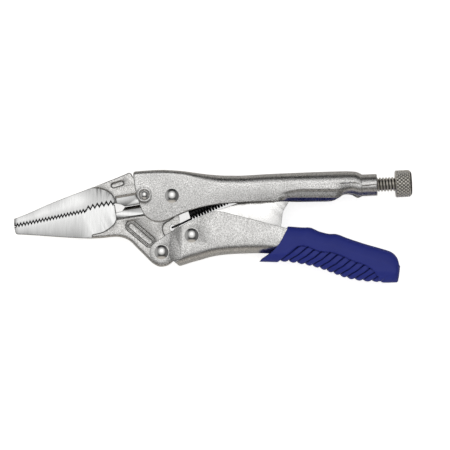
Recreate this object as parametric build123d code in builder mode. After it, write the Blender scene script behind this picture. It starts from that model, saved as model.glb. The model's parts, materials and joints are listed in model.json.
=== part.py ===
from build123d import *
import os
from math import asin, cos, radians, sin

# Long-nose locking pliers, 165 mm, lying on their side with the jaws closed and locked.
# X runs along the tool toward the adjusting knob, Y across it toward the upper handle,
# Z is up through its thickness. The origin is under the middle of the tool, on the bench.
# Side outlines are drawn about the main pivot, half way through the thickness.

os.makedirs("parts", exist_ok=True)

# ---------------------------------------------------------------- driving dimensions, mm
PIVOT_X = -17.1          # main pivot, from the middle of the tool
PIVOT_Y = 12.7
MID_Z = 9.2              # half the grip's width

JAW_PIVOT = (0.0, 0.0)
HANDLE_PIVOT = (-4.3, -23.3)
LINK_PIVOT = (8.2, -16.35)
PIN_SPOT = (-11.4, 0.4)

UPPER_WALL = 1.8         # sheet of the upper handle
UPPER_IN = 4.4           # half the space between its walls
UPPER_OUT = UPPER_IN + UPPER_WALL
UPPER_BEND = 2.6         # outside radius of the folded back

LOWER_WALL = 1.6
EAR_IN = 4.4             # half the space between the ears of the lower handle
EAR_OUT = EAR_IN + LOWER_WALL
CHANNEL_IN = 5.7         # half the space behind the joggle
CHANNEL_OUT = CHANNEL_IN + LOWER_WALL
LOWER_BEND = 4.2

JAW_HALF = 4.2           # half thickness of the moving jaw
NOSE_HALF = 3.6          # half thickness of both ground noses
CUTTER_STEP = 0.9        # depth of the flats beside the wire cutter
LEDGE = 0.9              # width of the sloping ledge beside them
FIXED_FACE = 0.5         # width of the steep faces that end in the edges
MOVING_FACE = 1.3
EDGE_HALF = 0.25         # half width of the cutter's edge
EAR_RADIUS = 5.6         # moving jaw round the main pivot
LOBE_RADIUS = 6.1        # moving jaw round the handle pivot
TAB_HALF = 1.25          # spring tab
OVAL_DEPTH = 0.55

JAW_GAP = 0.06           # daylight between the closed jaws
FINE_TEETH = 22
FINE_HEIGHT = 0.8
COARSE_TEETH = 6
COARSE_HEIGHT = 1.2

SHANK = 2.4              # radius of the three pivot rivets
HEAD = 3.2
HEAD_RISE = 1.5
PIN_SHANK = 1.2
PIN_HEAD = 1.7
PIN_RISE = 0.9
RUNNING = 0.05           # radial clearance of every running fit

LINK_HALF = 3.0          # half thickness of the toggle link
HUB_RADIUS = 4.0
LINK_END = (46.0, 3.2)
LINK_END_RADIUS = 2.4

SCREW_TILT = 2.5         # degrees
SCREW_MIDDLE = (82.0, 4.5)
SCREW_RADIUS = 3.0
BARREL_RADIUS = 4.53
SCREW_NOSE = -31.8       # along the screw from its middle point: nose, clear of the link
NECK_START = -14.0
BARREL_FRONT = -3.8
BARREL_END = 3.1
KNOB_START = 10.7
KNOB_END = 17.5
KNOB_RADIUS = 5.6
SPIGOT_RADIUS = 2.0
SPIGOT_LENGTH = 3.0
HEX_RADIUS = 2.3         # corner radius of the 4 mm hex-key socket
HEX_DEPTH = 2.8

COIL_RADIUS = 2.1
WIRE_RADIUS = 0.38
COIL_PITCH = 1.25
COIL_TURNS = 18.5
COIL_TILT = 23.0

GRIP_HALF = 9.2
GRIP_BEND = 3.4
RIB_COUNT = 14
RIB_PITCH = 3.1

SIDE = Plane(origin=(PIVOT_X, PIVOT_Y, MID_Z))
PLAN = Plane(origin=(PIVOT_X, PIVOT_Y, MID_Z), x_dir=(1, 0, 0), z_dir=(0, -1, 0))


def place(x, y, z=0.0):
    """A point drawn about the main pivot, in the tool's own frame."""
    return (x + PIVOT_X, y + PIVOT_Y, z + MID_Z)


def along(point, angle, distance):
    """The point that lies a distance away along an angle in the side view."""
    return (point[0] + distance * cos(radians(angle)), point[1] + distance * sin(radians(angle)))


def across_plane(x, y, angle):
    """A section plane across a direction of the side view: local x up, local y through."""
    a = radians(angle)
    return Plane(origin=place(x, y), x_dir=(-sin(a), cos(a), 0), z_dir=(cos(a), sin(a), 0))


SCREW = across_plane(*SCREW_MIDDLE, SCREW_TILT)


def teeth(start, middle, end, count, height, shift):
    """Corner points of a row of teeth along a shallow arc through three points."""
    points = []
    for i in range(2 * count + 1):
        t = i / (2 * count)
        a = (1 - t) * (1 - 2 * t)
        b = 4 * t * (1 - t)
        c = t * (2 * t - 1)
        x = a * start[0] + b * middle[0] + c * end[0]
        y = a * start[1] + b * middle[1] + c * end[1]
        rise = height / 2 if i % 2 else -height / 2
        points.append((x, y + rise + shift))
    return points


FINE = ((-64.6, -12.3), (-50.3, -9.35), (-36.1, -6.2), FINE_TEETH, FINE_HEIGHT)
COARSE = ((-35.6, -5.5), (-30.0, -3.75), (-24.4, -2.9), COARSE_TEETH, COARSE_HEIGHT)


def rivet(centre, half_grip, shank, head, rise):
    """A round rivet with a low dome at each end, through both walls."""
    rim = 0.3
    dome = (head ** 2 + (rise - rim) ** 2) / (2 * (rise - rim))
    half_angle = asin(head / dome) / 2
    with BuildPart() as piece:
        with BuildSketch(SIDE):
            with Locations(centre):
                Circle(shank)
        extrude(amount=half_grip, both=True)
        for side in (1, -1):
            top = half_grip + rise
            with BuildSketch(Plane(origin=place(*centre), x_dir=(1, 0, 0), z_dir=(0, -1, 0))):
                with BuildLine():
                    Line((0, side * half_grip), (0, side * top))
                    ThreePointArc(
                        (0, side * top),
                        (dome * sin(half_angle), side * (top - dome + dome * cos(half_angle))),
                        (head, side * (half_grip + rim)),
                    )
                    Line((head, side * (half_grip + rim)), (head, side * half_grip))
                    Line((head, side * half_grip), (0, side * half_grip))
                make_face()
            revolve(axis=Axis(place(*centre), (0, 0, 1)))
    return piece.part


# ---------------------------------------------------------------- upper handle
# One folded sheet: a channel open toward the lower handle, closing round the screw behind.
with BuildPart() as channel_space:
    with BuildSketch(SIDE):
        with BuildLine():
            Spline(
                (-20, 7.9), (-15, 8.3), (-5, 8.95), (5, 8.4), (15, 7.1), (25, 6.6),
                (35, 7.0), (50, 7.7), (62, 8.1), (70, 8.3),
            )
            Line((70, 8.3), (70, 1.2))
            Line((70, 1.2), (50, 1.2))
            Line((50, 1.2), (50, -9))
            Line((50, -9), (-20, -16))
            Line((-20, -16), (-20, 7.9))
        make_face()
    extrude(amount=UPPER_IN, both=True)

with BuildPart() as upper_handle:
    with BuildSketch(SIDE):
        with BuildLine():
            Spline(
                (-16, 9.6), (-15.6, 6.5), (-14.6, 0.5), (-13.3, -3.5), (-12.2, -6.5),
                (-10, -9.3), (-8, -10.4), (-5, -10.9), (-2, -10.2), (2, -8.4), (6, -6.7),
                (12, -5.0), (20, -3.5), (30, -2.8), (45, -2.4), (60, -2.4), (66, -2.2),
                (69, -0.9), (72, 0.45), (75, 0.2), (79, -0.2),
            )
            Line((79, -0.2), (79, 8.9))
            Spline(
                (79, 8.9), (75, 10.1), (70, 10.2), (60, 9.9), (50, 9.5), (35, 8.8),
                (25, 8.4), (15, 8.9), (5, 10.2), (-5, 10.75), (-14.6, 10.2),
            )
            Line((-14.6, 10.2), (-16, 9.6))
        make_face()
    extrude(amount=UPPER_OUT, both=True)
    back_edges = (
        upper_handle.edges()
        .filter_by(lambda e: e.center().Y > place(0, 7.8)[1])
        .filter_by(lambda e: abs(e.center().Z - MID_Z) > 1.0)
        .filter_by(lambda e: e.length > 60)
    )
    fillet(back_edges, radius=UPPER_BEND)
    # the sides close in toward the barrel
    with BuildSketch(PLAN):
        with BuildLine():
            Polyline(
                (-17, UPPER_OUT), (60, UPPER_OUT), (79, BARREL_RADIUS),
                (79, -BARREL_RADIUS), (60, -UPPER_OUT), (-17, -UPPER_OUT), close=True,
            )
        make_face()
    extrude(amount=30, both=True, mode=Mode.INTERSECT)
    # the lower edges roll inward behind the link, along a fold that starts gently
    for side in (1, -1):
        for_lip = (
            (6.6 * side, 2.6), (6.2 * side, 2.2), (5.0 * side, -0.6),
            (3.2 * side, -2.8), (3.2 * side, -5.0), (6.6 * side, -5.0),
        )
        sections = ((43.5, 3.2, -0.6), (50.0, 0.0, 0.0), (79.5, 0.0, 0.0))
        with BuildPart(mode=Mode.PRIVATE) as lip_cut:
            for x, out, drop in sections:
                section = Plane(origin=place(x, 0), x_dir=(0, 0, 1), z_dir=(1, 0, 0))
                with BuildSketch(section):
                    with BuildLine():
                        Polyline(
                            *[(z + out * side, -(y + drop)) for z, y in for_lip], close=True
                        )
                    make_face()
            loft(ruled=True)
        add(lip_cut.part, mode=Mode.SUBTRACT)
    add(channel_space.part, mode=Mode.SUBTRACT)
    # slot between the rolled edges, wider in front where the link swings through
    with BuildSketch(PLAN.offset(3)):
        with Locations((59, 0)):
            Rectangle(22, 4.8)
        with Locations((50.6, 0)):
            Rectangle(5.4, 2 * LINK_HALF + 0.4)
    extrude(amount=4.2, both=True, mode=Mode.SUBTRACT)
    # threaded barrel, and the hole that leads to it
    with BuildSketch(SCREW.offset(BARREL_FRONT)):
        Circle(BARREL_RADIUS)
    extrude(amount=BARREL_END - BARREL_FRONT)
    with BuildSketch(SCREW.offset(NECK_START)):
        Circle(SCREW_RADIUS + 0.4)
    extrude(amount=9, mode=Mode.SUBTRACT)
    with BuildSketch(SCREW.offset(NECK_START)):
        Circle(SCREW_RADIUS + RUNNING)
    extrude(amount=22, mode=Mode.SUBTRACT)
    # rivet and pin holes
    with BuildSketch(SIDE):
        with Locations(JAW_PIVOT):
            Circle(SHANK)
        with Locations(PIN_SPOT):
            Circle(PIN_SHANK)
    extrude(amount=20, both=True, mode=Mode.SUBTRACT)
    # lug on the underside of the back, for the spring's rear hook
    with BuildSketch(SIDE):
        with BuildLine():
            Polyline((35.6, 7.4), (35.9, 4.2), (37.6, 4.2), (38.0, 7.4), close=True)
        make_face()
    extrude(amount=0.8, both=True)
upper_handle.part.label = "upper_handle"
export_step(upper_handle.part, "parts/upper_handle.step")


# ---------------------------------------------------------------- fixed jaw
# Forged, held between the walls of the upper handle; long nose, teeth and half the cutter.
def cutter_bevel(x, y, angle, length, way, rise, face, full):
    """Both sides of a cutting edge: a sloping ledge, a flat, and a steep face to the edge."""
    with BuildPart() as bevel:
        with BuildSketch(across_plane(x, y, angle)):
            for side in (1, -1):
                with BuildLine():
                    Polyline(
                        (-way * LEDGE, side * full),
                        (0, side * (full - CUTTER_STEP)),
                        (way * (rise - face), side * (full - CUTTER_STEP - 0.1)),
                        (way * rise, side * EDGE_HALF),
                        (way * rise * 1.6, side * EDGE_HALF),
                        (way * rise * 1.6, side * 8),
                        (-way * LEDGE, side * 8),
                        close=True,
                    )
                make_face()
        extrude(amount=length)
    return bevel.part


def nose_faces(outline_line, full):
    """The flats ground on both sides of a nose, in front of a curved run-out."""
    with BuildPart() as flats:
        for z in (NOSE_HALF, -8):
            with BuildSketch(SIDE.offset(z)):
                with BuildLine():
                    Spline(*outline_line)
                    Polyline(outline_line[-1], *NOSE_CLOSE[full], outline_line[0])
                make_face()
            extrude(amount=8 - NOSE_HALF)
    return flats.part


NOSE_CLOSE = {
    "fixed": ((-23.5, -6), (-70, -16), (-70, 3.2)),
    "moving": ((-23, -2), (-70, -10), (-70, -20), (-33, -20)),
}

with BuildPart() as fixed_jaw:
    with BuildSketch(SIDE):
        with BuildLine():
            Spline(
                (-65.3, -9.5), (-60, -7.5), (-50, -3.1), (-40, 0.8), (-30, 4.6),
                (-20, 8.6), (-18.4, 9.3),
            )
            ThreePointArc((-18.4, 9.3), (-17.4, 9.45), (-16.7, 8.7))
            Line((-16.7, 8.7), (-16.2, 7.7))
            Line((-16.2, 7.7), (-13, 8.1))
            Line((-13, 8.1), (-2.6, 8.5))
            Line((-2.6, 8.5), along(JAW_PIVOT, 112, EAR_RADIUS + 0.5))
            ThreePointArc(
                along(JAW_PIVOT, 112, EAR_RADIUS + 0.5),
                along(JAW_PIVOT, 160, EAR_RADIUS + 0.5),
                along(JAW_PIVOT, 205, EAR_RADIUS + 0.5),
            )
            Polyline(
                along(JAW_PIVOT, 205, EAR_RADIUS + 0.5), (-13.5, -3.4), (-19.5, -4.4),
                (-21.0, -3.6), (-23.6, -3.1), *reversed(teeth(*COARSE, JAW_GAP / 2)),
                *reversed(teeth(*FINE, JAW_GAP / 2)), (-65.3, -12.6), (-65.3, -9.5),
            )
        make_face()
    extrude(amount=UPPER_IN, both=True)
    add(
        nose_faces(
            ((-33, 3.2), (-30, 3.1), (-28, 2.5), (-26, 1.5), (-24.4, -0.2), (-23.5, -2.8)),
            "fixed",
        ),
        mode=Mode.SUBTRACT,
    )
    add(
        cutter_bevel(-23.2, -1.1, 9.9, 16, -1, 4.35, FIXED_FACE, UPPER_IN), mode=Mode.SUBTRACT
    )
    # shallow oblong recess on each side
    for z in (UPPER_IN - 1.0, -8):
        with BuildSketch(SIDE.offset(z)):
            with Locations(Location((-22.5, 4.75), 17)):
                SlotOverall(5.4, 1.9)
        extrude(amount=8 - UPPER_IN + 1.0, mode=Mode.SUBTRACT)
    with BuildSketch(SIDE):
        with Locations(PIN_SPOT):
            Circle(PIN_SHANK)
    extrude(amount=20, both=True, mode=Mode.SUBTRACT)
fixed_jaw.part.label = "fixed_jaw"
export_step(fixed_jaw.part, "parts/fixed_jaw.step")


# ---------------------------------------------------------------- moving jaw
# Forged, swings on the main rivet; carries the spring tab and the eye for the handle rivet.
with BuildPart() as movable_jaw:
    with BuildSketch(SIDE):
        with BuildLine():
            Polyline(
                (-64.6, -16.0), (-65.3, -12.9), *teeth(*FINE, -JAW_GAP / 2),
                *teeth(*COARSE, -JAW_GAP / 2), (-23.8, -3.7), (-23.2, -7.0),
                (-20.6, -6.4), (-19.6, -4.7), (-13.4, -3.6), (-8, -3.9),
                along(JAW_PIVOT, 216, EAR_RADIUS),
            )
            ThreePointArc(
                along(JAW_PIVOT, 216, EAR_RADIUS),
                along(JAW_PIVOT, 90, EAR_RADIUS),
                along(JAW_PIVOT, -30, EAR_RADIUS),
            )
            Spline(
                along(JAW_PIVOT, -30, EAR_RADIUS), (3.4, -5.6), (0.6, -9.2),
                (-1.5, -10.6), (-3.4, -12), (-3.8, -14), (-2.9, -16.3),
                along(HANDLE_PIVOT, 52, LOBE_RADIUS),
            )
            ThreePointArc(
                along(HANDLE_PIVOT, 52, LOBE_RADIUS),
                along(HANDLE_PIVOT, -30, LOBE_RADIUS),
                along(HANDLE_PIVOT, -100, LOBE_RADIUS),
            )
            Spline(
                along(HANDLE_PIVOT, -100, LOBE_RADIUS), (-8, -27.9), (-11, -25),
                (-15, -21), (-17, -19), (-19, -17.8), (-21.5, -17.1), (-28, -17.4),
                (-40, -17.5), (-52, -16.7), (-64.6, -16.0),
            )
        make_face()
    extrude(amount=JAW_HALF, both=True)
    # ease the long lower edge
    lower_edges = (
        movable_jaw.edges()
        .filter_by(lambda e: e.center().Y < place(0, -15)[1])
        .filter_by(lambda e: abs(e.center().Z - MID_Z) > 1)
        .filter_by(lambda e: e.length > 4)
    )
    fillet(lower_edges, radius=1.2)
    add(
        nose_faces(
            (
                (-33, -16.2), (-32, -15.9), (-30, -15.5), (-28, -14.8), (-26, -13.5),
                (-24, -11.8), (-23, -9.4),
            ),
            "moving",
        ),
        mode=Mode.SUBTRACT,
    )
    add(
        cutter_bevel(-23.0, -9.2, 8.4, 14, 1, 4.05, MOVING_FACE, JAW_HALF), mode=Mode.SUBTRACT
    )
    # oval recess on each side, with a raised rim inside a groove
    for z in (JAW_HALF - OVAL_DEPTH, -8):
        with BuildSketch(SIDE.offset(z)):
            with Locations(Location((-13.0, -15.75), -40.4)):
                SlotOverall(14.4, 4.6)
                SlotOverall(13.3, 3.5, mode=Mode.SUBTRACT)
                SlotOverall(12.3, 2.5)
        extrude(amount=8 - JAW_HALF + OVAL_DEPTH, mode=Mode.SUBTRACT)
    # thin tab that takes the spring's front hook
    with BuildSketch(SIDE):
        with BuildLine():
            Polyline(
                (-4, -8), (2.4, -6.9), (3.1, -8.9), (3.05, -11.4), (2.7, -13.5),
                (1.5, -16.5), (-1, -19), (-5, -18), close=True,
            )
        make_face()
    extrude(amount=TAB_HALF, both=True)
    with BuildSketch(SIDE):
        with Locations(Location((0.1, -13.2), 65)):
            SlotOverall(2.6, 2.0)
        with Locations(JAW_PIVOT):
            Circle(SHANK + RUNNING)
        with Locations(HANDLE_PIVOT):
            Circle(SHANK + RUNNING)
    extrude(amount=20, both=True, mode=Mode.SUBTRACT)
movable_jaw.part.label = "movable_jaw"
export_step(movable_jaw.part, "parts/movable_jaw.step")


# ---------------------------------------------------------------- rivets and pin
main_rivet = rivet(JAW_PIVOT, UPPER_OUT, SHANK, HEAD, HEAD_RISE)
main_rivet.label = "main_rivet"
export_step(main_rivet, "parts/main_rivet.step")

fixed_jaw_pin = rivet(PIN_SPOT, UPPER_OUT, PIN_SHANK, PIN_HEAD, PIN_RISE)
fixed_jaw_pin.label = "fixed_jaw_pin"
export_step(fixed_jaw_pin, "parts/fixed_jaw_pin.step")

jaw_rivet = rivet(HANDLE_PIVOT, EAR_OUT, SHANK, HEAD, HEAD_RISE)
jaw_rivet.label = "jaw_rivet"
export_step(jaw_rivet, "parts/jaw_rivet.step")

link_rivet = rivet(LINK_PIVOT, CHANNEL_OUT, SHANK, HEAD, HEAD_RISE)
link_rivet.label = "link_rivet"
export_step(link_rivet, "parts/link_rivet.step")


# ---------------------------------------------------------------- lower handle
# Folded sheet, open toward the upper handle; two ears clasp the moving jaw in front.
def joggled(ear, channel, reach):
    """Plan outline that steps outward from the ears to the channel behind them."""
    half = [(-14, ear), (0.2, ear), (4.0, channel), (reach, channel)]
    return half + [(x, -z) for x, z in reversed(half)]


with BuildPart() as lower_envelope:
    with BuildSketch(SIDE):
        with BuildLine():
            Spline(
                (-7.3, -19.5), (-5, -18), (-1, -15.2), (3, -12.9), (7, -10.8), (11, -8.9),
                (14.5, -7.2), (17.5, -6.5), (20, -6.5), (25, -7.6), (30, -8.9),
                (40, -11.5), (48, -13.5), (60, -16.8), (72, -20.2), (86, -25.2),
            )
            ThreePointArc((86, -25.2), (89, -29.8), (85.5, -33.6))
            Spline(
                (85.5, -33.6), (78, -33.2), (69, -30.9), (60, -27.8), (50, -25.3),
                (40, -23.9), (30, -23.9), (20, -24.6), (15, -25.6), (11, -26.8),
                (8, -27.6), (5, -28.6), (3.2, -29.1),
            )
            Line((3.2, -29.1), (0.8, -27.1))
            Line((0.8, -27.1), along(HANDLE_PIVOT, -58, 4.85))
            ThreePointArc(
                along(HANDLE_PIVOT, -58, 4.85),
                along(HANDLE_PIVOT, -150, 4.85),
                (-7.3, -19.5),
            )
        make_face()
    extrude(amount=CHANNEL_OUT, both=True)
    with BuildSketch(PLAN):
        with BuildLine():
            Polyline(*joggled(EAR_OUT, CHANNEL_OUT, 95), close=True)
        make_face()
    extrude(amount=40, both=True, mode=Mode.INTERSECT)
    bend_edges = (
        lower_envelope.edges()
        .filter_by(lambda e: abs(abs(e.center().Z - MID_Z) - CHANNEL_OUT) < 0.05)
        .filter_by(lambda e: e.length > 50)
        .sort_by(Axis.Y)[0:2]
    )
    fillet(bend_edges, radius=LOWER_BEND)

with BuildPart() as lower_space:
    with BuildSketch(SIDE):
        with BuildLine():
            Polyline((-14, 0), (-14, -36), (-1.4, -36), (2.0, -27.0), (5, -26.7))
            Spline(
                (5, -26.7), (8, -25.8), (11, -25.0), (15, -23.8), (20, -22.8), (30, -22.1),
                (40, -22.1), (50, -23.5), (60, -26.0), (69, -29.1), (78, -31.4), (84, -31.9),
            )
            Polyline((84, -31.9), (90, -31.9), (90, 0), (-14, 0))
        make_face()
    extrude(amount=CHANNEL_IN, both=True)
    with BuildSketch(PLAN):
        with BuildLine():
            Polyline(*joggled(EAR_IN, CHANNEL_IN, 95), close=True)
        make_face()
    extrude(amount=60, both=True, mode=Mode.INTERSECT)

with BuildPart() as lower_handle:
    add(lower_envelope.part)
    add(lower_space.part, mode=Mode.SUBTRACT)
    with BuildSketch(SIDE):
        with Locations(HANDLE_PIVOT, LINK_PIVOT):
            Circle(SHANK)
    extrude(amount=20, both=True, mode=Mode.SUBTRACT)
lower_handle.part.label = "lower_handle"
export_step(lower_handle.part, "parts/lower_handle.step")


# ---------------------------------------------------------------- toggle link
# Thick plate between the handles; its heel lands on the lower handle's back, just over centre.
with BuildPart() as toggle_link:
    with BuildSketch(SIDE):
        with BuildLine():
            ThreePointArc(
                along(LINK_PIVOT, 105, HUB_RADIUS),
                along(LINK_PIVOT, 190, HUB_RADIUS),
                along(LINK_PIVOT, 275, HUB_RADIUS),
            )
            Spline(
                along(LINK_PIVOT, 275, HUB_RADIUS), (16, -19.6), (28, -18.6), (36, -19.4),
                (41, -21.3),
            )
            ThreePointArc((41, -21.3), (43.2, -21.6), (44.6, -20.0))
            Spline(
                (44.6, -20.0), (45.2, -12.7), (45.6, -9.5), (46.5, -5.6), (48.2, -2.8),
                (48.55, 0.5), (48.4, 3.2),
            )
            ThreePointArc(
                (48.4, 3.2), along(LINK_END, 60, LINK_END_RADIUS),
                along(LINK_END, 115, LINK_END_RADIUS),
            )
            Spline(
                along(LINK_END, 115, LINK_END_RADIUS), (36, 0.8), (24, -4.2), (20, -5.5),
                (15.5, -6.9), (11.5, -9.6), along(LINK_PIVOT, 105, HUB_RADIUS),
            )
        make_face()
    extrude(amount=LINK_HALF, both=True)
    with BuildSketch(SIDE):
        with Locations(LINK_PIVOT):
            Circle(HUB_RADIUS)
    extrude(amount=CHANNEL_IN - 0.2, both=True)
    with BuildSketch(SIDE):
        with Locations(LINK_PIVOT):
            Circle(SHANK + RUNNING)
    extrude(amount=20, both=True, mode=Mode.SUBTRACT)
toggle_link.part.label = "toggle_link"
export_step(toggle_link.part, "parts/toggle_link.step")


# ---------------------------------------------------------------- adjusting screw and knob
with BuildPart() as adjusting_screw:
    with BuildSketch(SCREW.offset(SCREW_NOSE)):
        Circle(SCREW_RADIUS)
    extrude(amount=KNOB_START - SCREW_NOSE)
    nose_edge = adjusting_screw.edges().filter_by(GeomType.CIRCLE).sort_by(Axis.X)[0]
    chamfer(nose_edge, length=1.2)
    with BuildSketch(SCREW.offset(KNOB_START)):
        Circle(SPIGOT_RADIUS)
    extrude(amount=SPIGOT_LENGTH)
adjusting_screw.part.label = "adjusting_screw"
export_step(adjusting_screw.part, "parts/adjusting_screw.step")

with BuildPart() as adjusting_knob:
    with BuildSketch(SCREW.offset(KNOB_START)):
        Circle(KNOB_RADIUS)
    extrude(amount=KNOB_END - KNOB_START)
    rims = adjusting_knob.edges().filter_by(GeomType.CIRCLE).sort_by(Axis.X)
    chamfer(rims[0], length=0.3)
    chamfer(rims[-1], length=1.0)
    with BuildSketch(SCREW.offset(KNOB_START)):
        Circle(SPIGOT_RADIUS + RUNNING)
    extrude(amount=SPIGOT_LENGTH + 0.2, mode=Mode.SUBTRACT)
    with BuildSketch(SCREW.offset(KNOB_END - HEX_DEPTH)):
        RegularPolygon(HEX_RADIUS, 6)
    extrude(amount=HEX_DEPTH + 1, mode=Mode.SUBTRACT)
adjusting_knob.part.label = "adjusting_knob"
export_step(adjusting_knob.part, "parts/adjusting_knob.step")


# ---------------------------------------------------------------- return spring
# Close extension spring, stretched while the tool is locked, so that it opens the jaws.
coil_start = (7.2, -7.6)
tilt = radians(COIL_TILT)
coil_length = COIL_PITCH * COIL_TURNS
coil_plane = Plane(
    origin=place(*coil_start), x_dir=(sin(tilt), -cos(tilt), 0), z_dir=(cos(tilt), sin(tilt), 0)
)
coil = coil_plane * Helix(pitch=COIL_PITCH, height=coil_length, radius=COIL_RADIUS)
FRONT_HOOK = (
    coil @ 0, place(4.6, -11.2, 1.9), place(0.2, -13.1, 1.9),
    place(0.2, -13.1, -1.9), place(3.6, -11.7, -1.9),
)
REAR_HOOK = (
    coil @ 1, place(34.2, 5.2, 1.5), place(38.6, 5.6, 1.5),
    place(38.6, 5.6, -1.5), place(35.9, 5.4, -1.5),
)

with BuildPart() as return_spring:
    with BuildSketch(Plane(origin=coil @ 0, z_dir=coil % 0)):
        Circle(WIRE_RADIUS)
    sweep(path=coil, is_frenet=True)
    # hooks: the front one through the tab's hole, the rear one round the lug
    for hook in (FRONT_HOOK, REAR_HOOK):
        for start, end in zip(hook, hook[1:]):
            run = Vector(*end) - Vector(*start)
            with BuildSketch(Plane(origin=start, z_dir=run)):
                Circle(WIRE_RADIUS)
            extrude(amount=run.length)
        with Locations(*hook):
            Sphere(WIRE_RADIUS * 1.03)
return_spring.part.label = "return_spring"
export_step(return_spring.part, "parts/return_spring.step")


# ---------------------------------------------------------------- grip sleeve
# Moulded sleeve over the rear of the lower handle, ribbed for the fingers.
with BuildPart() as grip_sleeve:
    with BuildSketch(SIDE):
        with BuildLine():
            Spline(
                (48.2, -12.7), (50, -12.8), (54, -13.1), (57.5, -13.2), (61, -14.7),
                (65, -15.7), (68.5, -15.9), (73, -17.6), (80, -19.9), (88, -22.2),
                (91.5, -23.6), (93.9, -26.8), (94.5, -31), (93.5, -36.0),
            )
            Spline(
                (93.5, -36.0), (86.5, -36.1), (79, -35.7), (72.5, -34.4), (66.8, -32.4),
                (61, -30.3), (55, -28.8), (48, -27.7), (43, -27.5), (36.2, -27.3),
            )
            Spline((36.2, -27.3), (36.8, -25.6), (38, -23.6))
            Spline(
                (38, -23.6), (41, -20.9), (45, -18.6), (47.5, -16.5), (48.3, -14.4),
                (48.2, -12.7),
            )
        make_face()
    extrude(amount=GRIP_HALF, both=True)
    long_edges = (
        grip_sleeve.edges()
        .filter_by(lambda e: abs(abs(e.center().Z - MID_Z) - GRIP_HALF) < 0.05)
        .filter_by(lambda e: e.length > 40)
    )
    fillet(long_edges, radius=GRIP_BEND)
    # ribs: slanting grooves on both faces
    for z in (GRIP_HALF - 0.5, -GRIP_HALF - 1.5):
        for i in range(RIB_COUNT):
            x = 45.0 + RIB_PITCH * i
            y = -26.0 - 0.0035 * (x - 45.0) ** 2 - 0.05 * (x - 45.0)
            with BuildSketch(SIDE.offset(z)):
                with Locations(Location(along((x, y), 40, 2.6), 40)):
                    SlotOverall(6.0, 0.9)
            extrude(amount=2.0, mode=Mode.SUBTRACT)
    add(lower_envelope.part, mode=Mode.SUBTRACT)
    # the channel stays open inside the sleeve's mouth
    with BuildSketch(SIDE):
        with BuildLine():
            Polyline((30, -9), (48, -13.6), (52, -14.7), (52, -22), (30, -22), close=True)
        make_face()
    extrude(amount=CHANNEL_IN, both=True, mode=Mode.SUBTRACT)
grip_sleeve.part.label = "grip_sleeve"
export_step(grip_sleeve.part, "parts/grip_sleeve.step")
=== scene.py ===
# %% [markdown]
# # Long-nose locking pliers
# A folded steel handle carries a fixed jaw; a second jaw swings on the big rivet near its front.
# A lower handle and a thick toggle link push that jaw shut and lock it just over centre.
# The CAD model gives every pivot and every outline. This lesson adds what the hand and the eye
# meet: the rolled sheet, the thread, the knurl, the coil, the ribbed sleeve and their finishes.

# %% Load the frame
import json
from math import asin, cos, hypot, pi, radians, sin, sqrt, tau

import bmesh
import bpy
import numpy as np
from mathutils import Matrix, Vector


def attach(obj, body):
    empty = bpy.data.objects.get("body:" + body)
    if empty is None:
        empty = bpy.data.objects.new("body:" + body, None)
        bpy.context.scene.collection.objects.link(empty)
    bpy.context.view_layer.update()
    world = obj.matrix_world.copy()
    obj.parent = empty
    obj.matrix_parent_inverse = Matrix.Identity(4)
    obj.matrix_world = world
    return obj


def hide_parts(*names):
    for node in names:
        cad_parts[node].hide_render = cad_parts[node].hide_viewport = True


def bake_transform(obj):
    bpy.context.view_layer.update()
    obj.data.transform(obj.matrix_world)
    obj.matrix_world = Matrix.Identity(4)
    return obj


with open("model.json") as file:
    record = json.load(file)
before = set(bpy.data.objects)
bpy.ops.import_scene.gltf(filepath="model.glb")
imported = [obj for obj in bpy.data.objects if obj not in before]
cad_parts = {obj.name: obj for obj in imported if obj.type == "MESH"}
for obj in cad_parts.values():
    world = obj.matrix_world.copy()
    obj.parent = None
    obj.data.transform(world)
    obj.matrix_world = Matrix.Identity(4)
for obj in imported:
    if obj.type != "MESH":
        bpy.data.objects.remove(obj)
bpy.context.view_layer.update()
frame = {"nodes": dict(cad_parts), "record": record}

scene = bpy.context.scene
nodes = frame["nodes"]
print("nodes", sorted(nodes))

# %% [markdown]
# ## Measuring from the main pivot
# A toolmaker measures locking pliers from the rivet that the jaw swings on. The points below
# are in millimetres from that rivet, half way through the tool's thickness, and one function
# turns them into metres in the frame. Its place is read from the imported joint.

# %% Points and curves
MM = 0.001
joints = {j["name"]: j for j in frame["record"]["behaviour"]["joints"]}
pivot = Vector(joints["jaw_pivot"]["pos_m"])
JAW_RIVET = (-4.3, -23.3)
LINK_RIVET = (8.2, -16.35)
JAW_PIN = (-11.4, 0.4)


def at(x, y, z=0.0):
    """Millimetres from the main rivet, to metres in the frame."""
    return Vector((pivot.x + x * MM, pivot.y + y * MM, pivot.z + z * MM))


def smooth_line(points, count):
    """Points evenly along a smooth curve through a few given ones."""
    p = np.array(points, float)
    ends = np.vstack([2 * p[0] - p[1], p, 2 * p[-1] - p[-2]])
    fine = []
    for i in range(1, len(p)):
        a, b, c, d = ends[i - 1], ends[i], ends[i + 1], ends[i + 2]
        for t in np.linspace(0, 1, 24, endpoint=False):
            fine.append(
                0.5 * (2 * b + (c - a) * t + (2 * a - 5 * b + 4 * c - d) * t**2
                       + (3 * b - 3 * c + d - a) * t**3)
            )
    fine.append(p[-1])
    fine = np.array(fine)
    run = np.r_[0, np.cumsum(np.linalg.norm(np.diff(fine, axis=0), axis=1))]
    want = np.linspace(0, run[-1], count)
    return np.stack([np.interp(want, run, fine[:, k]) for k in range(p.shape[1])], 1)


def ease(low, high, value):
    """0 below low, 1 above high, and a smooth rise between."""
    t = np.clip((value - low) / (high - low), 0, 1)
    return t * t * (3 - 2 * t)


print("main rivet at", tuple(round(c, 4) for c in pivot))

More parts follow.
